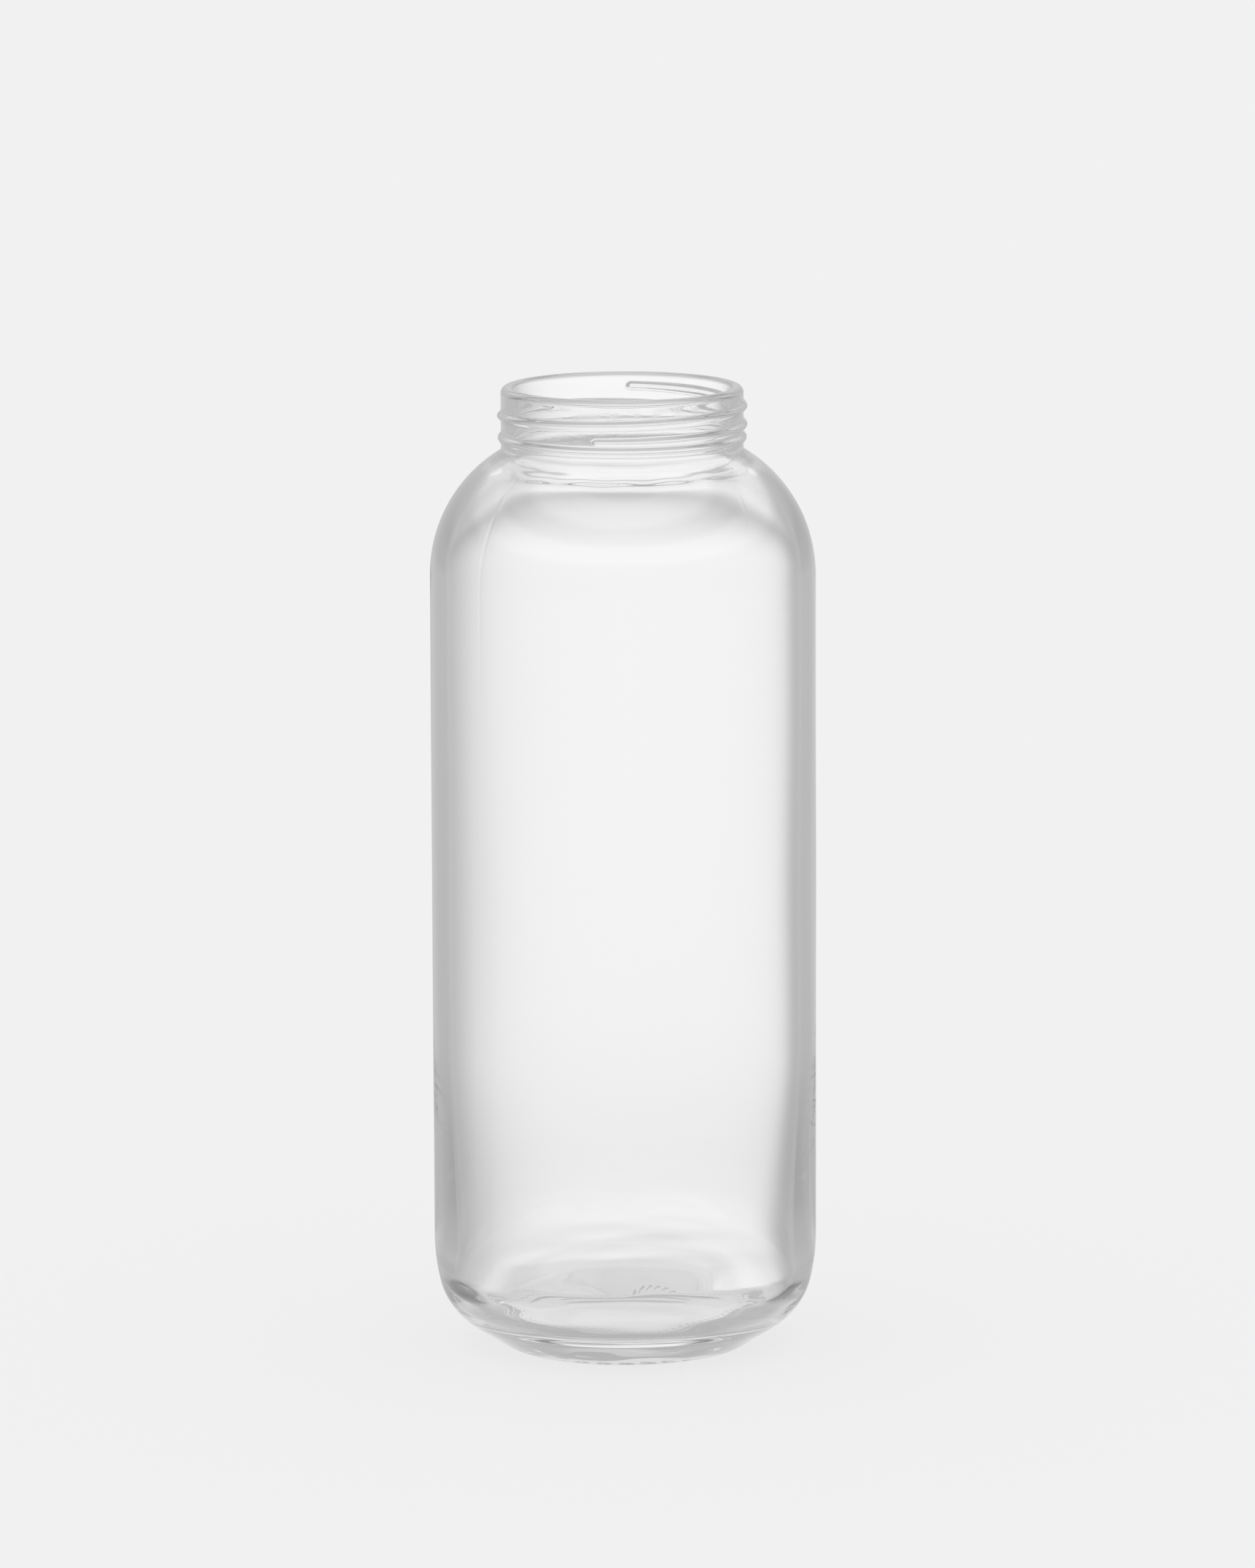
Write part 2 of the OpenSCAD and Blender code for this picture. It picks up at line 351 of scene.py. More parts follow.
def thread_relief(theta, z):
    """Distance on the unrolled neck to the thread's middle line, turned into a ridge.

    The line falls by the pitch in each turn, clockwise seen from above. Past its two ends
    the distance is taken to the end point, and counts less along the thread than across it,
    which draws the tips out to an oval. The ridge starts narrow at both ends and is at its
    full width a tenth of a turn further on.
    """
    out = np.zeros(np.broadcast(theta, z).shape)
    for turn in range(-1, 3):
        t = (THREAD_START - theta) % 360.0 + 360.0 * turn
        kept = np.clip(t, 0.0, thread_sweep)
        along = np.radians(t - kept) * NECK_R / TIP_LENGTH
        up = z - (HEIGHT - thread_drop(kept)) - lean(theta)
        from_tip = np.minimum(kept, thread_sweep - kept)
        size = TIP_SIZE + TIP_GROWTH * fade(from_tip, 0.0, TIP_DEG)
        out = np.maximum(out, ridge(np.hypot(along, up) / size, THREAD_H * size, THREAD_W))
    return out


def bead_relief(theta, z):
    """A ridge all the way round, in the middle of the bead's height."""
    return ridge(np.abs(z - (HEIGHT - BEAD_DROP) - lean(theta)), BEAD_H, BEAD_W)


last_drop = float(thread_drop(np.array(thread_sweep)))
print(f"thread: from {THREAD_DROP:.2f} to {last_drop:.2f} mm under the lip")

# %% [markdown]
# ## Seams and notches
#
# The mould has two halves, and a hair-fine ridge shows on each side of the
# shoulder where they met. The ring that the bottle stands on carries a row of
# small slanted notches, as on many bottles. How many there are is an estimate.
# Both are too shallow to be seen as shapes, and show only by how they bend the
# light. A bump in the material would bend it on one skin alone, without depth,
# so these are real shapes too.

# %% The parting seams and the notches under the standing ring
SEAM_H, SEAM_W, SEAM_FADE = 0.012, 0.6, (140.0, 180.0)
NOTCH_W, NOTCH_H, NOTCH_L, NOTCH_SLANT = 0.9, 0.35, 1.9, 0.25


def seam_relief(theta, r, z):
    """A fine ridge where the mould's halves met.

    It is a bell curve of the distance from the seam, and it fades out down the body.
    """
    out = np.zeros(np.broadcast(theta, r).shape)
    for angle in SEAM_ANGLES:
        away = np.radians((theta - angle + 180.0) % 360.0 - 180.0) * r
        out = np.maximum(out, SEAM_H * np.exp(-(away / SEAM_W) ** 2))
    return out * fade(z, *SEAM_FADE)


def notch_relief(theta, r):
    """Slanted oval dimples in an even row.

    Each is the depth times 1 - (2 away / width)^2 - (2 along / length)^2, and nothing
    where that is below zero. The length lies across the ring.
    """
    pitch = 360.0 / NOTCH_COUNT
    along = r - RING_R + NOTCH_L / 2
    away = np.radians((theta % pitch) - pitch / 2) * r + NOTCH_SLANT * along
    oval = 1.0 - (2 * away / NOTCH_W) ** 2 - (2 * along / NOTCH_L) ** 2
    return -NOTCH_H * np.clip(oval, 0.0, 1.0)


print(f"notches: {NOTCH_COUNT}, one every {2 * math.pi * RING_R / NOTCH_COUNT:.2f} mm")

# %% [markdown]
# ## Waves
#
# Blown glass is smooth but never even. A noise texture could stir its normals,
# but then the inner skin and the outer one would not thicken and thin the glass
# between them. A sum of a few cosines, whole numbers of them round the bottle,
# moves the skin itself, in waves that close on themselves. They are a few
# hundredths of a millimetre high, which is enough to bend what shows through.
# Round the foot, where the glass is thickest, they are short and steep.

# %% Waves
COSINES = 12
# Each set is: seed, most waves round, shortest length in mm, and height in mm
OUTER_WAVES = (3, 5, 60.0, 0.02)
INNER_WAVES = (11, 3, 90.0, 0.02)
FOOT_WAVES = (21, 9, 3.5, 0.035)
PEEL_WAVES = (5, 40, 2.5, 1.0)


def waves(theta, z, seed, around, long, size):
    """Sum of cosines of a direction and a height, each with a random phase.

    A cosine has a random whole number of waves round the bottle, up to around, and a
    random length of at least long up the bottle. The sum's usual height is size.
    """
    random = np.random.default_rng(seed)
    out = np.zeros(np.broadcast(theta, z).shape)
    for _ in range(COSINES):
        m = random.integers(0, around + 1)
        q = random.uniform(-1.0, 1.0) * 2 * math.pi / long
        phase = random.uniform(0.0, 2 * math.pi)
        out += np.cos(m * np.radians(theta) + q * z + phase)
    return out * size / math.sqrt(COSINES / 2)


print(f"waves: {COSINES} cosines in each set, {OUTER_WAVES[-1]} mm high on the body")

# %% [markdown]
# ## The rings in the throat
#
# The glass under the neck shows dark and pale arcs. Soft rings on the inside,
# left as the hot glass settled, are a likely cause, but their true shape can't be
# seen. Three bell curves in depth under the lip stand for them. A sculpting brush
# could draw such rings too, but not with ends that meet.

# %% The settled rings in the throat
# Each ring is: height, depth under the lip, width, drift and swing
THROAT_RINGS = (
    (0.27, 19.1, 1.0, 0.35, 0.30),
    (0.55, 15.8, 1.35, 0.10, 0.08),
    (-0.035, 21.3, 2.6, 0.0, 0.0),
)
# Each cosine is: size, waves round the bottle, and phase
DRIFT = ((0.45, 3, 0.7), (0.35, 7, 3.3), (0.2, 19, 1.3))
SWING = ((0.5, 5, 2.1), (0.5, 11, 0.4))
THROAT_SIDES, THROAT_FRONT = 0.35, (0.35, 0.85)


def cosines(a, terms):
    """Sum of size times the cosine of so many times the angle plus a phase."""
    return sum(size * np.cos(n * a + phase) for size, n, phase in terms)


def throat_relief(theta, z):
    """Rings of thicker glass: the height times a bell curve of the depth under the lip.

    A ring's middle drifts up and down and its height swings as it goes round, by cosines of
    several wave numbers. The rings are highest in front and thin out toward the sides.
    """
    a = np.radians(theta)
    uneven, swing = cosines(a, DRIFT), cosines(a, SWING)
    front = THROAT_SIDES + (1.0 - THROAT_SIDES) * fade(-np.sin(a), *THROAT_FRONT)
    out = np.zeros(np.broadcast(theta, z).shape)
    for high, middle, width, drift, change in THROAT_RINGS:
        bell = np.exp(-((HEIGHT - z - middle - drift * uneven) / width) ** 2)
        out += high * (1 + change * swing) * bell
    return out * front


print(f"throat: {len(THROAT_RINGS)} rings, the highest {max(THROAT_RINGS)[0]} mm")

# %% [markdown]
# ## One closed skin
#
# Every row of the outline becomes a ring of points, and the first and the last
# row are single points on the axis. A modifier could give a single skin its
# thickness, but this bottle's wall is uneven on purpose, so both skins are made
# as one. Inside a stretch the rings have the same directions, so four-sided
# faces join them. Between two stretches the directions may differ, and triangles
# step from one to the next in the order of the angles.

# %% All that departs from the outline
OUTER = ("cone", "heel_mid", "heel_top", "body", "shoulder")
THROAT = ("throat", "inner_crown", "inner_shoulder")
INNER = THROAT + ("inner_wall", "taper", "bowl")
FOOT = ("bowl", "corner", "inside_floor", "cone")
# Where each set of waves sets in, in mm: over the table, under the neck and so on
OVER_TABLE, UNDER_NECK = (1.0, 12.0), (0.5, 8.0)
OVER_FLOOR, UNDER_THROAT = (12.0, 30.0), (0.0, 8.0)
PAST_RING, FOOT_TOP, UNDER_FOOT_TOP = (RING_R + 1.0, FLOOR_R + 1.0), 30.0, (0.0, 14.0)


def relief(name, theta, r, z):
    """The sum of the reliefs and waves of one stretch, in millimetres outward."""
    lift = np.zeros(np.broadcast(theta, z).shape)
    if name in OUTER:
        between = fade(z, *OVER_TABLE) * fade(neck_z - z, *UNDER_NECK)
        lift += between * (seam_relief(theta, r, z) + waves(theta, z, *OUTER_WAVES))
    if name in INNER:
        between = fade(z, *OVER_FLOOR) * fade(throat_z - z, *UNDER_THROAT)
        lift += between * waves(theta, z, *INNER_WAVES)
    if name in THROAT:
        lift += throat_relief(theta, z)
    if name in FOOT:
        low_down = fade(r, *PAST_RING) * fade(FOOT_TOP - z, *UNDER_FOOT_TOP)
        lift += low_down * waves(theta, z, *FOOT_WAVES)
    if name == "neck":
        lift += np.maximum(thread_relief(theta, z), bead_relief(theta, z))
    if name == "ring":
        lift += notch_relief(theta, r)
    return lift


# %% Points of one stretch
def stretch_points(name):
    """Points [row, direction, xyz] of one stretch, in millimetres.

    Each is the outline's point moved outward by the relief and turned round the axis:
    r cos a, r sin a, z.
    """
    rows = stretch_of == name
    r, z = outline[rows, :1], outline[rows, 1:]
    theta = COLUMNS[name][None, :]
    lift = relief(name, theta, r, z)
    rr = r + lift * outward[rows, :1]
    zz = z + lift * outward[rows, 1:]
    a = np.radians(theta)
    return np.stack([rr * np.cos(a), rr * np.sin(a), zz], axis=2)


neck_points = stretch_points("neck")
neck_reach = float(np.hypot(neck_points[..., 0], neck_points[..., 1]).max())
print(f"neck: {neck_points.shape[0]} rows of {neck_points.shape[1]}, {neck_reach:.2f} mm out")

# %% Faces between rings
SAME_ANGLE = 1e-6


def quads(rings):
    """Four-sided faces of a grid of vertex numbers [row, direction] that closes on itself."""
    low, high = rings[:-1], rings[1:]
    beside_low, beside_high = np.roll(low, -1, axis=1), np.roll(high, -1, axis=1)
    return np.stack([low, beside_low, beside_high, high], axis=2).reshape(-1, 4)


def stitch(first, a, second, b):
    """Triangles between two rings with angles a and b.

    Each step of the first ring makes a triangle with the latest vertex of the second
    ring, and each step of the second makes one with the latest of the first.
    """
    a_next, b_next = np.append(a[1:], 360.0), np.append(b[1:], 360.0)
    latest_b = np.searchsorted(b, a_next - SAME_ANGLE) - 1
    latest_a = np.searchsorted(a, b_next, side="right") - 1
    own = np.stack([first, np.roll(first, -1), second[latest_b]], axis=1)
    other = np.stack([first[latest_a % len(a)], np.roll(second, -1), second], axis=1)
    wrap = b_next >= 360.0
    other[wrap, 0] = first[0]
    return np.concatenate([own, other])


def cap(ring, pole, up):
    """Triangles from a ring to a single vertex, facing down where up is false."""
    around = np.roll(ring, -1)
    first, second = (ring, around) if up else (around, ring)
    return np.stack([first, second, np.full(len(ring), pole)], axis=1)


print(f"stitch: {len(PLAIN) + len(NOTCHED)} triangles from a plain ring to a notched one")

# %% Put the rings together
def build_skin():
    """Vertices and faces of the closed skin, faces turned outward.

    The single points of the two poles come last. So the first stretch gives up its first
    row, and the last stretch its last row.
    """
    names = list(STRETCHES)
    verts, fours, threes = [], [], []
    total, last = 0, None
    for name in names:
        points = stretch_points(name)
        theta = COLUMNS[name]
        if name == names[0]:
            points = points[1:]
        if name == names[-1]:
            points = points[:-1]
        rows, columns = points.shape[:2]
        rings = total + np.arange(rows * columns).reshape(rows, columns)
        verts.append(points.reshape(-1, 3))
        total += rings.size
        fours.append(quads(rings))
        if last is None:
            first_ring = rings[0]
        elif len(last[1]) == len(theta):
            fours.append(quads(np.stack([last[0], rings[0]])))
        else:
            threes.append(stitch(last[0], last[1], rings[0], theta))
        last = (rings[-1], theta)
    poles = np.array([[0.0, 0.0, outline[0, 1]], [0.0, 0.0, outline[-1, 1]]])
    threes.append(cap(first_ring, total, False))
    threes.append(cap(last[0], total + 1, True))
    return np.concatenate(verts + [poles]), [np.concatenate(fours), np.concatenate(threes)]


def make_mesh(name, verts, face_arrays):
    """A smooth-shaded object from an array of points in millimetres and arrays of faces."""
    mesh = bpy.data.meshes.new(name)
    faces = [face for block in face_arrays for face in block.tolist()]
    mesh.from_pydata((verts * MM).tolist(), [], faces)
    mesh.shade_smooth()
    obj = bpy.data.objects.new(name, mesh)
    bpy.context.scene.collection.objects.link(obj)
    return obj


verts, face_arrays = build_skin()
glass = make_mesh("bottle_glass", verts, face_arrays)
triangles = sum(len(p.vertices) - 2 for p in glass.data.polygons)
print(f"glass: {len(verts)} vertices, {triangles} triangles")

# %% How much glass there is
ML_PER_M3 = 1e6


def signed_volume(obj):
    """Volume inside a closed mesh in ml: a sixth of the sum of each triangle's triple product."""
    mesh = obj.data
    mesh.calc_loop_triangles()
    n = len(mesh.loop_triangles)
    corner = np.empty(n * 3, dtype=np.int32)
    mesh.loop_triangles.foreach_get("vertices", corner)
    co = np.empty(len(mesh.vertices) * 3)
    mesh.vertices.foreach_get("co", co)
    a, b, c = co.reshape(-1, 3)[corner].reshape(n, 3, 3).transpose(1, 0, 2)
    return float(np.einsum("ij,ij->i", a, np.cross(b, c)).sum() / 6 * ML_PER_M3)


print(f"glass: {signed_volume(glass):.1f} ml, and a positive number means it faces outward")

# %% [markdown]
# ## Where the mould left its mark
#
# The neck is shaped in a ring mould of its own, and its flat stretches keep a faint
# orange-peel texture in patches. A painted mask would do, but would need a UV map
# for one small use. Instead, each vertex gets a number from 0 to 1 that says how
# much of it there is, and the material reads that number.

# %% The patches, as a number on each vertex
# Each band is: start and end in mm under the lip, and how much
PEEL_BANDS = ((1.5, 5.2, 1.0), (6.3, 9.2, 0.9), (12.6, 14.6, 0.6))
BAND_EDGE, PATCH_EDGE = 0.5, 0.9
PEEL_FRONT = (0.55, 0.85)
PEEL_SKIN = (NECK_R - 0.8, NECK_R - 0.2)
AXIS_GUARD = 1.0


def peel(points):
    """A band in depth under the lip, times a window round the front, times soft patches."""
    x, y, z = points.T
    drop, from_axis = HEIGHT - z, np.hypot(x, y)
    theta = np.degrees(np.arctan2(y, x))
    front = fade(-y / np.maximum(from_axis, AXIS_GUARD), *PEEL_FRONT)
    bands = np.zeros(len(points))
    for start, end, much in PEEL_BANDS:
        inside = fade(drop, start, start + BAND_EDGE) * fade(-drop, -end, BAND_EDGE - end)
        bands = np.maximum(bands, much * inside)
    patches = fade(waves(theta, z, *PEEL_WAVES), -PATCH_EDGE, PATCH_EDGE)
    outside = fade(from_axis, *PEEL_SKIN)
    return bands * front * patches * outside


peel_share = peel(verts).astype(np.float32)
mask = glass.data.attributes.new("mould_face", "FLOAT", "POINT")
mask.data.foreach_set("value", peel_share)
print(f"orange peel: on {int((peel_share > 0.1).sum())} of the {len(peel_share)} vertices")

# %% [markdown]
# ## Clear glass
#
# Soda-lime glass is colourless at this thickness, so the material is all
# transmission, with a breath of tint and an index of refraction of 1.52. The skin
# is a solid with an inside, so no thin-wall trick is needed, and the thickness of
# each wall bends the light as it should. The only roughness is the orange peel of
# the neck: a fine noise in Object coordinates, times the number on the vertices,
# as a bump of seven thousandths of a millimetre.

# %% Helpers for node trees
def number(tree, op, a, b=None, c=None):
    """One Math node. Each of a, b, c is a number or another node's output."""
    node = tree.nodes.new("ShaderNodeMath")
    node.operation = op
    for socket, value in zip(node.inputs, (a, b, c)):
        if value is None:
            continue
        if isinstance(value, (int, float)):
            socket.default_value = value
        else:
            tree.links.new(value, socket)
    return node.outputs[0]


def mix_number(tree, factor, a, b):
    """a where the factor is 0 and b where it is 1: a + factor times (b - a)."""
    return number(tree, "MULTIPLY_ADD", number(tree, "SUBTRACT", b, a), factor, a)


def slope(tree, value, start, end, low, high):
    """A smooth step: low where the value is before start, high where it is past end."""
    node = tree.nodes.new("ShaderNodeMapRange")
    node.interpolation_type = "SMOOTHSTEP"
    tree.links.new(value, node.inputs["Value"])
    for name, level in zip(("From Min", "From Max", "To Min", "To Max"), (start, end, low, high)):
        node.inputs[name].default_value = level
    return node.outputs["Result"]


print("helpers: number, mix_number and slope, one node or two in each")

# %% The orange peel, as a bump
PEEL_SQUEEZE = (1.0, 1.0, 2.0)
PEEL_SCALE, PEEL_DETAIL, PEEL_ROUGHNESS = 3000.0, 3.0, 0.6
PEEL_DEPTH = 0.000007


def peel_bump(tree):
    """A normal from noise in Object coordinates times the vertices' mould_face number."""
    coord = tree.nodes.new("ShaderNodeTexCoord")
    squeeze = tree.nodes.new("ShaderNodeMapping")
    squeeze.inputs["Scale"].default_value = PEEL_SQUEEZE
    tree.links.new(coord.outputs["Object"], squeeze.inputs["Vector"])
    grain = tree.nodes.new("ShaderNodeTexNoise")
    grain.inputs["Scale"].default_value = PEEL_SCALE
    grain.inputs["Detail"].default_value = PEEL_DETAIL
    grain.inputs["Roughness"].default_value = PEEL_ROUGHNESS
    tree.links.new(squeeze.outputs["Vector"], grain.inputs["Vector"])
    share = tree.nodes.new("ShaderNodeAttribute")
    share.attribute_name = "mould_face"
    height = number(tree, "MULTIPLY", grain.outputs["Fac"], share.outputs["Fac"])
    bump = tree.nodes.new("ShaderNodeBump")
    bump.inputs["Strength"].default_value = 1.0
    bump.inputs["Distance"].default_value = PEEL_DEPTH
    tree.links.new(height, bump.inputs["Height"])
    return bump.outputs["Normal"]


print(f"orange peel: grains of about {1 / PEEL_SCALE / MM:.2f} mm")

# %% The glass
GLASS_COLOUR, GLASS_IOR = (0.995, 0.996, 0.995, 1.0), 1.52


def clear_glass():
    """Soda-lime glass: all transmission, hardly any tint, and a smooth skin."""
    mat = bpy.data.materials.new("clear_glass")
    mat.use_nodes = True
    tree = mat.node_tree
    bsdf = tree.nodes["Principled BSDF"]
    tree.links.new(peel_bump(tree), bsdf.inputs["Normal"])
    bsdf.inputs["Base Color"].default_value = GLASS_COLOUR
    bsdf.inputs["Roughness"].default_value = 0.0
    bsdf.inputs["IOR"].default_value = GLASS_IOR
    bsdf.inputs["Transmission Weight"].default_value = 1.0
    return mat


glass.data.materials.append(clear_glass())
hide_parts("bottle")
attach(glass, "root")
print(f"material: {glass.data.materials[0].name}, index {GLASS_IOR}")

# %% [markdown]
# ## The studio
#
# Clear glass has no look of its own. It shows what stands round it, bent by its
# walls and mirrored on its skins, so a studio gives it white paper, even light,
# and pale cards with darker gaps between them, which draw its edges. Real panels
# and lamps could be built round the bottle, but their light is noisy after so
# many bends. So the world works out its brightness from the way each ray goes.
# The camera sees plain paper, everything matt gets even light, and only the rays
# that come from the glass meet the cards.

# %% Levels of the studio
PAPER, SHADOW = 0.88, 0.12
FLANK, PEAK = 0.43, 0.98


def seen_by_glass(tree):
    """1 for rays that left the glass, bent or reflected, and 0 for the rest."""
    path = tree.nodes.new("ShaderNodeLightPath")
    glossy, through = path.outputs["Is Glossy Ray"], path.outputs["Is Transmission Ray"]
    return number(tree, "MAXIMUM", glossy, through)


print(f"levels: paper {PAPER}, cards {PEAK}, gaps {FLANK}")

# %% [markdown]
# ## The cards
#
# The middle of the bottle hardly bends a ray, and shows the card straight behind.
# Toward the sides the bend grows, and the eye meets the gap beside that card and
# then the next card, which gives the grey and pale bands down the edges. Eight
# cards stand round the bottle, so it has such bands from every side. A card's
# left edge is softer than its right one, because the bands down the two sides of
# the real bottle are not alike.

# %% Sizes of the cards, in degrees as seen from the bottle
CARDS = 8
CARD_TURN, FAR_CARD = 360.0 / CARDS, CARDS / 4
RIGHT_SPREAD, RIGHT_POWER = 12.0, 6.5
LEFT_SPREAD, LEFT_POWER = 9.7, 2.4
OVER_SPREAD, OVER_POWER = 3.75, 5.0
UNDER_SPREAD, UNDER_POWER = 15.0, 2.3
CARD_FOOT, FAR_FOOT, FAR_TOP, BESIDE_TOP = -20.0, -9.0, -9.0, -21.0
HORIZON, LEAST_UNDER, LEAST_OVER = (-4.4, -2.2), 0.3, 0.9
print(f"cards: {CARDS}, one every {CARD_TURN:.0f} degrees, the far one number {FAR_CARD:.0f}")

# %% The shape of the cards
def raised(tree, distance, spread, power):
    """The distance over the spread, to a power."""
    return number(tree, "POWER", number(tree, "DIVIDE", distance, spread), power)


def past(tree, value, edge):
    """How far the value is past the edge, and 0 before it."""
    return number(tree, "MAXIMUM", number(tree, "SUBTRACT", value, edge), 0.0)


def falling(tree, total):
    """1 / (1 + total)."""
    return number(tree, "DIVIDE", 1.0, number(tree, "ADD", total, 1.0))


def card_shapes(tree, x, y, z):
    """How much of a card shows in a direction, for all the cards and for the far one alone.

    Across, a card is 1 / (1 + (r / spread)^power + (l / spread)^power), for r degrees to
    the right of its middle or l to the left. Upright, it is the same of the degrees over
    its top and under its foot, and at least a fixed share over the horizon. The two cards
    beside the far one hang lower than the rest.
    """
    turn = number(tree, "MULTIPLY", number(tree, "ARCTAN2", y, x), CARDS / (2 * math.pi))
    card = number(tree, "ROUND", turn)
    aside = number(tree, "MULTIPLY", number(tree, "SUBTRACT", turn, card), CARD_TURN)
    right = number(tree, "MAXIMUM", number(tree, "MULTIPLY", aside, -1.0), 0.0)
    left = number(tree, "MAXIMUM", aside, 0.0)
    wide = number(tree, "ADD", raised(tree, right, RIGHT_SPREAD, RIGHT_POWER),
                  raised(tree, left, LEFT_SPREAD, LEFT_POWER))
    across = falling(tree, wide)

    from_far = number(tree, "ABSOLUTE", number(tree, "SUBTRACT", card, FAR_CARD))
    far = number(tree, "COMPARE", from_far, 0.0, 0.5)
    beside = number(tree, "COMPARE", from_far, 1.0, 0.5)
    lower = number(tree, "MULTIPLY", beside, BESIDE_TOP)
    top = number(tree, "MULTIPLY_ADD", far, FAR_TOP, lower)
    foot = number(tree, "MULTIPLY_ADD", far, FAR_FOOT - CARD_FOOT, CARD_FOOT)

    rise = number(tree, "MULTIPLY", number(tree, "ARCSINE", z), 180.0 / math.pi)
    over, under = past(tree, rise, top), past(tree, foot, rise)
    steep = number(tree, "ADD", raised(tree, over, OVER_SPREAD, OVER_POWER),
                   raised(tree, under, UNDER_SPREAD, UNDER_POWER))
    least = slope(tree, rise, *HORIZON, LEAST_UNDER, LEAST_OVER)
    upright = number(tree, "MAXIMUM", falling(tree, steep), least)
    shape = number(tree, "MULTIPLY", across, upright)
    return shape, number(tree, "MULTIPLY", shape, far)


print(f"cards: their gaps show {FLANK / PEAK:.0%} as bright as their middles")

# %% [markdown]
# ## The room that the glass mirrors
#
# Glass mirrors only about a twentieth of the light that meets it straight, but
# over a dark gap that is much of what there is to see. A room is not even: it
# has windows, dark walls, a floor and a lamp overhead. A colour ramp from
# straight down to straight up is enough for it, because the eye can't tell which
# wall a thin streak came from. Rays that stay caught between the two skins for
# long would need a fuller room than this, so after a few reflections they get
# one middle grey.

# %% Levels of the mirrored room
# Each level is: degrees over the horizon, and brightness
ROOM_LEVELS = (
    (-90, 0.80), (-60, 0.65), (-42, 0.75), (-33, 0.28), (-24, 0.22), (-16, 0.44), (-8, 0.50),
    (-3, 0.45), (4, 0.42), (10, 0.48), (17, 0.52), (24, 0.95), (33, 0.90), (40, 0.22),
    (48, 0.20), (56, 0.95), (72, 0.90), (80, 0.35), (90, 0.60),
)
FAR_IN_MIRROR = 0.4
INSIDE_WALL, OFTEN = 0.46, (2.5, 5.5)


def room_light(tree, z):
    """Brightness of the room by height: the ramp at half plus the arcsine of z over pi."""
    rise = number(tree, "MULTIPLY_ADD", number(tree, "ARCSINE", z), 1.0 / math.pi, 0.5)
    ramp = tree.nodes.new("ShaderNodeValToRGB")
    ramp.color_ramp.interpolation = "EASE"
    stops = ramp.color_ramp.elements
    while len(stops) < len(ROOM_LEVELS):
        stops.new(0.5)
    for stop, (height, level) in zip(stops, ROOM_LEVELS):
        stop.position = height / 180.0 + 0.5
        stop.color = (level, level, level, 1.0)
    tree.links.new(rise, ramp.inputs[0])
    return ramp.outputs[0]


print(f"room: {len(ROOM_LEVELS)} levels from the floor to the lamp")

# %% The world
def make_world():
    """Even light for everything matt, and the uneven surround for what the glass shows."""
    world = bpy.data.worlds.new("studio")
    bpy.context.scene.world = world
    world.use_nodes = True
    tree = world.node_tree
    tree.nodes.clear()
    coord = tree.nodes.new("ShaderNodeTexCoord")
    split = tree.nodes.new("ShaderNodeSeparateXYZ")
    tree.links.new(coord.outputs["Generated"], split.inputs[0])
    path = tree.nodes.new("ShaderNodeLightPath")
    reflections = path.outputs["Glossy Depth"]
    every_card, far_card = card_shapes(tree, *split.outputs)

    bent = mix_number(tree, every_card, FLANK, PEAK)
    far_share = number(tree, "MULTIPLY", far_card, FAR_IN_MIRROR)
    room = mix_number(tree, far_share, room_light(tree, split.outputs[2]), PEAK)
    often = slope(tree, reflections, *OFTEN, 0.0, 1.0)
    room = mix_number(tree, often, room, INSIDE_WALL)
    pattern = mix_number(tree, number(tree, "MINIMUM", reflections, 1.0), bent, room)
    plain = mix_number(tree, path.outputs["Is Camera Ray"], 1.0, PAPER)

    back = tree.nodes.new("ShaderNodeBackground")
    back.inputs["Color"].default_value = (1, 1, 1, 1)
    tree.links.new(mix_number(tree, seen_by_glass(tree), plain, pattern), back.inputs["Strength"])
    out = tree.nodes.new("ShaderNodeOutputWorld")
    tree.links.new(back.outputs[0], out.inputs["Surface"])
    return world


studio = make_world()
print(f"world: {len(studio.node_tree.nodes)} nodes")

# %% [markdown]
# ## The paper it stands on
#
# The paper is one wide sheet with no horizon near enough to see. To the camera it
# is almost all an even pale tone, with a little real shading left in it, so that
# the bottle keeps a soft shadow. A fully lit sheet would show every uneven spot
# of the light. Seen through the glass, only the paper close to the foot matters:
# there it glows with a painted pool of light in a round patch a little behind the
# bottle, and with a painted shadow under the front of the ring, where the glass
# stops the light. Further out the sheet lets those rays pass, and they meet the
# cards.

# %% Levels under the foot, with distances in metres
# The patch level is a painted pool of light and the shade level a painted shadow, both glowing on
# the paper for rays from the glass
PAINTED_FOOT_LIGHT, FOOT_MIDDLE, FOOT_PATCH = 0.76, (0.0, 0.020, 0.0), (0.042, 0.051)
PAINTED_RING_SHADE, SHADE_EDGE = 0.46, (0.040, 0.048)
ON_AXIS = (0.0, 0.0, 0.0)
print(f"foot: {PAINTED_FOOT_LIGHT} in the lit patch, {PAINTED_RING_SHADE} in the shade before it")

# %% Helpers for the paper
def glow(tree, level):
    """An Emission node of an even grey."""
    node = tree.nodes.new("ShaderNodeEmission")
    node.inputs["Color"].default_value = (level, level, level, 1)
    return node.outputs[0]


def mix_shader(tree, factor, a, b):
    """Shader a where the factor is 0 and b where it is 1."""
    node = tree.nodes.new("ShaderNodeMixShader")
    for socket, value in zip(node.inputs, (factor, a, b)):
        tree.links.new(value, socket)
    return node.outputs[0]


def how_far(tree, point):
    """Distance from a point, in Object coordinates."""
    coord = tree.nodes.new("ShaderNodeTexCoord")
    node = tree.nodes.new("ShaderNodeVectorMath")
    node.operation = "DISTANCE"
    node.inputs[1].default_value = point
    tree.links.new(coord.outputs["Object"], node.inputs[0])
    return node.outputs["Value"]


print("helpers: glow, mix_shader and how_far")

# %% The paper, with its size in millimetres
FLOOR_HALF = 8000.0


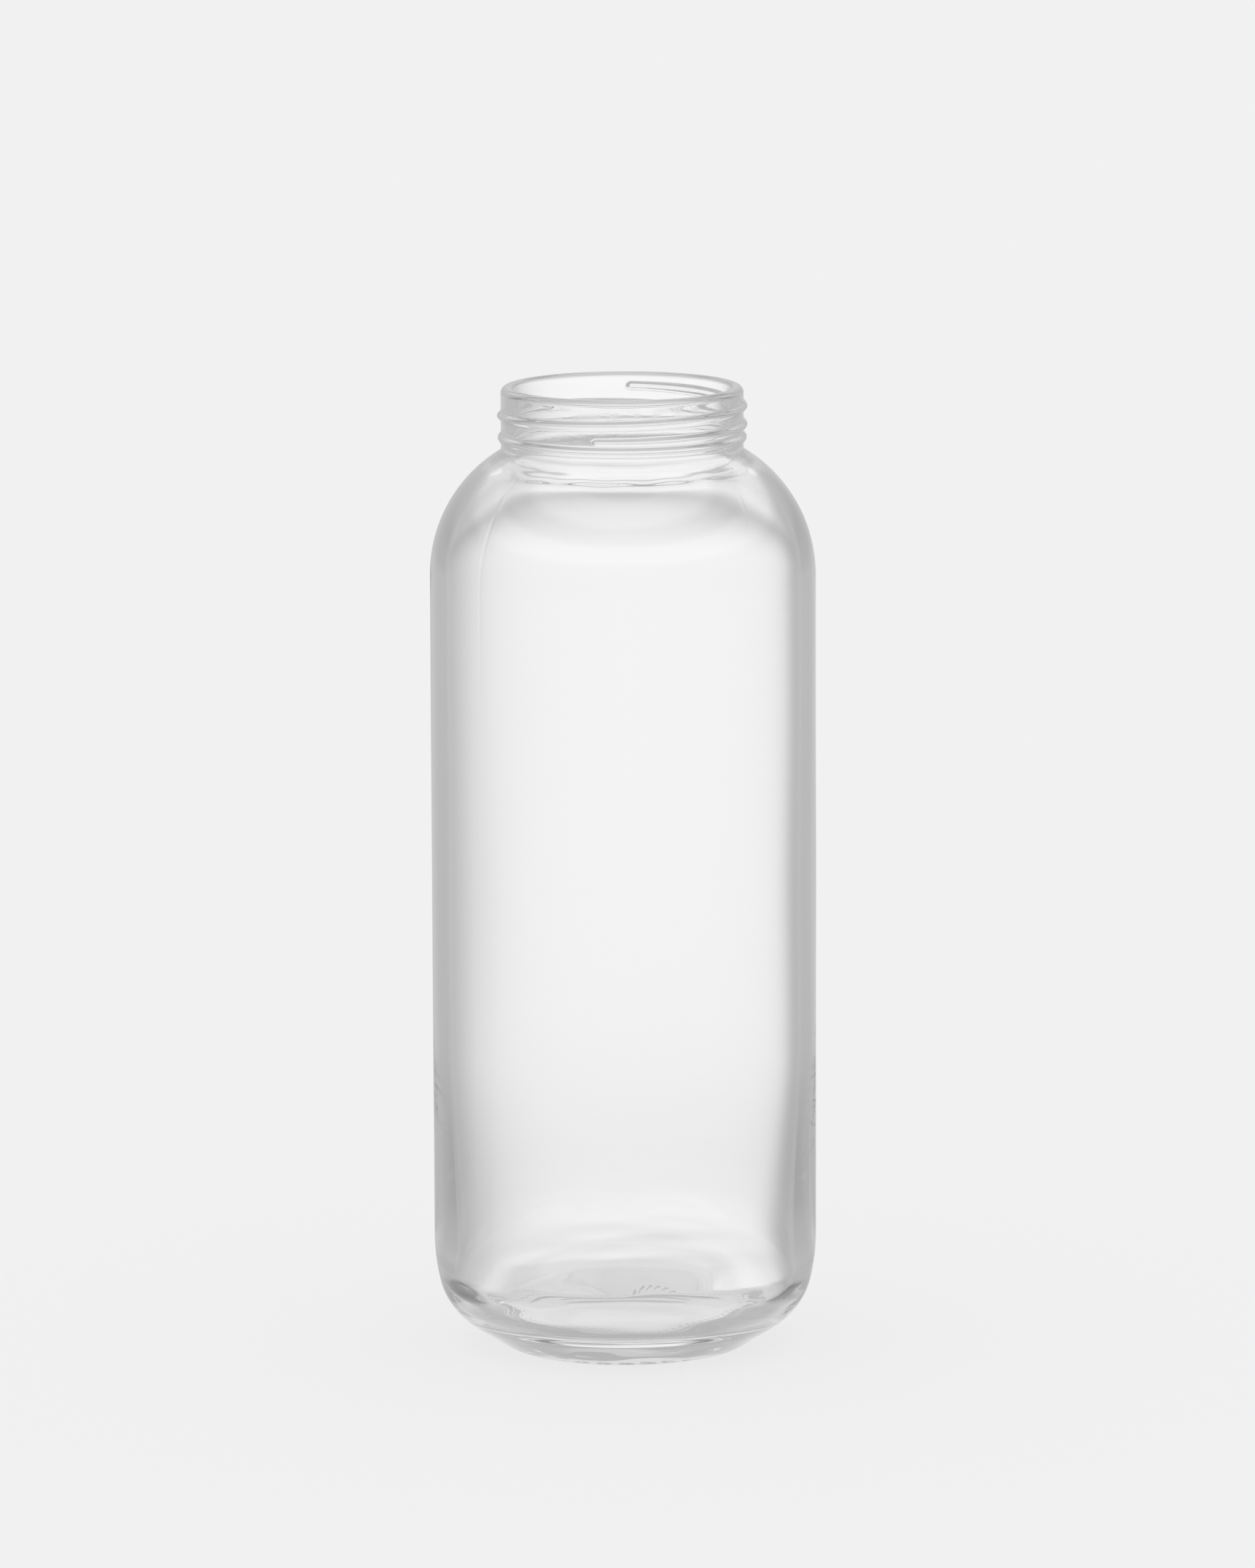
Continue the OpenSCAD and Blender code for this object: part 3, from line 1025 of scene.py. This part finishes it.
def paper_material():
    """Paper for the camera and the light, and a painted pool of light, a painted shadow or
    nothing for the glass.
    """
    mat = bpy.data.materials.new("paper")
    mat.use_nodes = True
    tree = mat.node_tree
    tree.nodes.clear()
    matt = tree.nodes.new("ShaderNodeBsdfDiffuse")
    matt.inputs["Color"].default_value = (PAPER, PAPER, PAPER, 1)
    clear = tree.nodes.new("ShaderNodeBsdfTransparent")
    path = tree.nodes.new("ShaderNodeLightPath")

    # For rays from the glass the paper glows: a painted shadow under the front of the ring and a
    # painted pool of light behind it
    past_shade = slope(tree, how_far(tree, ON_AXIS), *SHADE_EDGE, 0.0, 1.0)
    shade = mix_shader(tree, past_shade, glow(tree, PAINTED_RING_SHADE), clear.outputs[0])
    past_patch = slope(tree, how_far(tree, FOOT_MIDDLE), *FOOT_PATCH, 0.0, 1.0)
    painted_light_and_shadow = mix_shader(tree, past_patch, glow(tree, PAINTED_FOOT_LIGHT), shade)

    even_share = number(tree, "MULTIPLY", path.outputs["Is Camera Ray"], 1.0 - SHADOW)
    paper = mix_shader(tree, even_share, matt.outputs[0], glow(tree, PAPER))
    out = tree.nodes.new("ShaderNodeOutputMaterial")
    seen = mix_shader(tree, seen_by_glass(tree), paper, painted_light_and_shadow)
    tree.links.new(seen, out.inputs["Surface"])
    return mat


corners = FLOOR_HALF * np.array([[-1, -1, 0], [1, -1, 0], [1, 1, 0], [-1, 1, 0]])
floor = make_mesh("floor", corners, [np.array([[0, 1, 2, 3]])])
floor.data.materials.append(paper_material())
print(f"paper: {2 * FLOOR_HALF * MM:.0f} m across")

# %% [markdown]
# ## How often a ray may bounce
#
# Some rays that enter a thick edge of glass are mirrored inside it hundreds of
# times before they get out. Under a usual limit they are cut short and leave
# black specks along the heel. More light would only wash out the dark lines, so
# the limit is raised. That costs little, because few rays go that far.

# %% Bounces
BOUNCES, CLEAR_BOUNCES = 1000, 32
cycles = bpy.context.scene.cycles
cycles.max_bounces = BOUNCES
cycles.glossy_bounces = BOUNCES
cycles.transmission_bounces = BOUNCES
cycles.transparent_max_bounces = CLEAR_BOUNCES
print(f"bounces: up to {cycles.max_bounces}")

# %% [markdown]
# ## The camera
#
# A bottle is taken from a little above its middle with a long lens, so that its
# sides stay upright and its mouth and foot show as narrow ovals. The camera
# could be aimed by a constraint. Here its matrix is put together from three
# directions, which leaves room for a slight roll.

# %% Camera
FRAME_W = 1725
SENSOR_MM, CLIP_M = 36.0, 100.0
DISTANCE, PITCH, ROLL = 2060.0, 0.171, -0.0039
AIM_Z, SIDE, SCALE = 129.7, 0.89, 6.0095


def camera_matrix():
    """Three directions as columns, and the place.

    The camera looks along y, turned down by the pitch. Its right and its top are turned
    about that direction by the roll. It stands so far up that it looks at AIM_Z.
    """
    ahead = Vector((0, math.cos(PITCH), -math.sin(PITCH)))
    up = Vector((0, math.sin(PITCH), math.cos(PITCH)))
    side = Vector((1, 0, 0))
    right = math.cos(ROLL) * side + math.sin(ROLL) * up
    top = -math.sin(ROLL) * side + math.cos(ROLL) * up
    matrix = Matrix((right, top, -ahead)).transposed().to_4x4()
    matrix.translation = Vector((SIDE, -DISTANCE, AIM_Z + DISTANCE * math.tan(PITCH))) * MM
    return matrix


def make_camera():
    """A camera whose frame shows SCALE pixels to a millimetre at the bottle's axis.

    The focal length is the scale times the distance along the line of sight, times the
    sensor's width over the frame's width in pixels.
    """
    camera = bpy.data.cameras.new("camera")
    camera.sensor_fit = "HORIZONTAL"
    camera.sensor_width = SENSOR_MM
    camera.lens = SCALE * DISTANCE / math.cos(PITCH) * SENSOR_MM / FRAME_W
    camera.clip_end = CLIP_M
    obj = bpy.data.objects.new("camera", camera)
    bpy.context.scene.collection.objects.link(obj)
    obj.matrix_world = camera_matrix()
    bpy.context.scene.camera = obj
    return obj


camera = make_camera()
bpy.context.scene.view_settings.view_transform = "Standard"
print(f"camera: a lens of {camera.data.lens:.0f} mm, {camera.location.z:.2f} m up")

# %% [markdown]
# ## Measure and close
#
# The visible bottle has to keep the size of the construction model, because
# other parts are fitted to that. So both boxes are measured and printed.

# %% Close
reach = verts.max(axis=0) - verts.min(axis=0)
print(f"size: {reach[0]:.2f} by {reach[1]:.2f} by {reach[2]:.2f} mm")
print(f"size of the construction model: {2 * BODY_R:.2f} across, {HEIGHT:.2f} tall")
